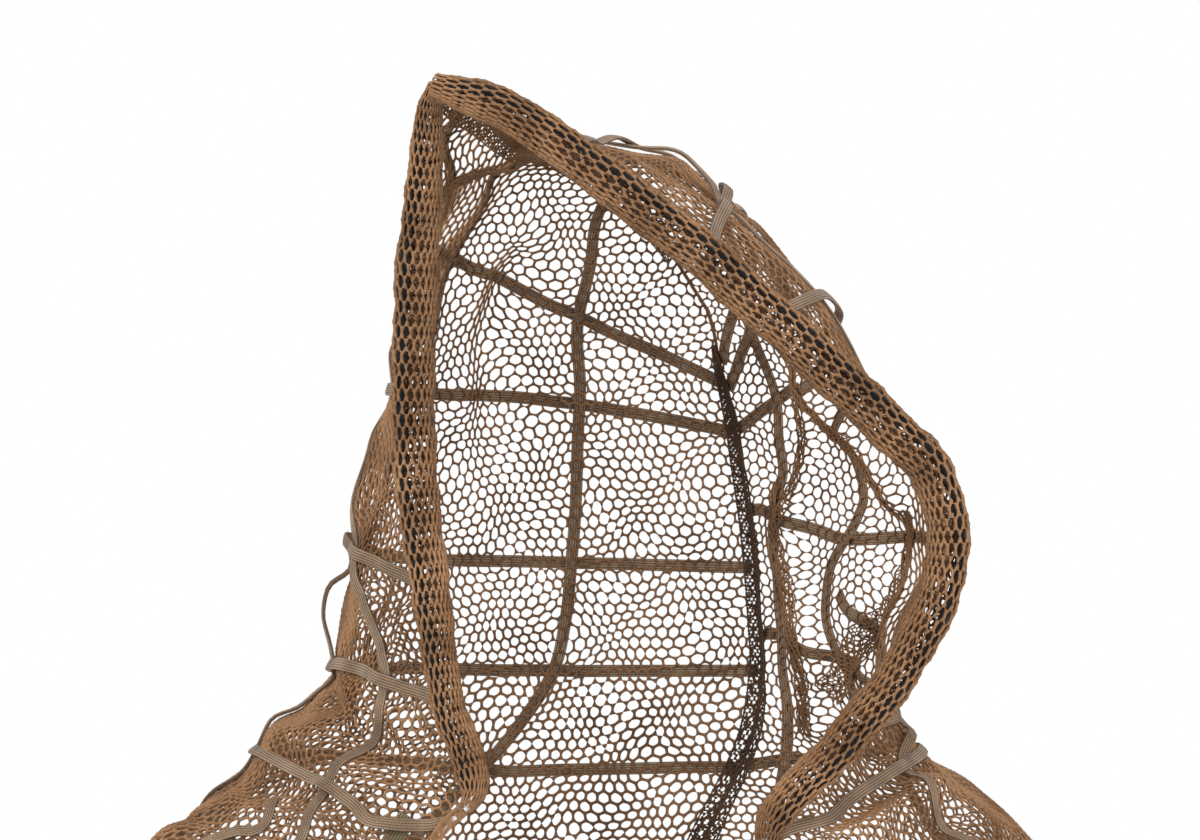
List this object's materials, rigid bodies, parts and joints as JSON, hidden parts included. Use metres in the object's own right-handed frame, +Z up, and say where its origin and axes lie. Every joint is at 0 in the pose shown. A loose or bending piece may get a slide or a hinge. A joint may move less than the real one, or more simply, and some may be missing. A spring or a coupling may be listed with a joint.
{
  "type": "hooded ghillie base net",
  "caption": "Hood of knitted mesh net with a short shoulder cape, a drawcord tunnel round the face opening and flat cords sewn on in a grid, shown in its worn shape",
  "frame": {"origin": "the point under the crown where the top of the head holds the hood", "axes": "+X to the right seen from the front, +Y to the back of the hood, +Z up; the face opening looks along -Y"},
  "size_m": [0.4979, 0.2431, 0.4391],
  "materials": {
    "net": "matte knitted mesh yarn, tan brown",
    "cord": "matte flat ribbed braid, grey tan",
    "tape": "matte flat tape, olive tan",
    "elastic": "dark charcoal braided elastic with a slight sheen",
    "binding": "matte doubled net, dark brown"
  },
  "bodies": {
    "root": {"panel_left": "net", "panel_right": "net", "elastic_left": "elastic", "elastic_right": "elastic", "binding_crown": "binding", "binding_back": "binding", "cord_left_front": "cord", "cord_left_side": "cord", "cord_left_shoulder": "cord", "cord_left_back": "cord", "cord_right_front": "cord", "cord_right_rear": "cord", "cord_right_back": "cord", "cord_right_brace": "cord", "tape_left_front": "tape", "tape_right_front": "tape", "ring_left_brow": "cord", "ring_left_ear": "cord", "ring_left_chin": "cord", "ring_left_neck": "cord", "ring_left_shoulder": "cord", "ring_left_hem": "cord", "ring_right_crown": "cord", "ring_right_brow": "cord", "ring_right_ear": "cord", "ring_right_chin": "cord", "ring_right_neck": "cord", "ring_right_shoulder": "cord", "ring_right_hem": "cord"}
  },
  "joints": []
}
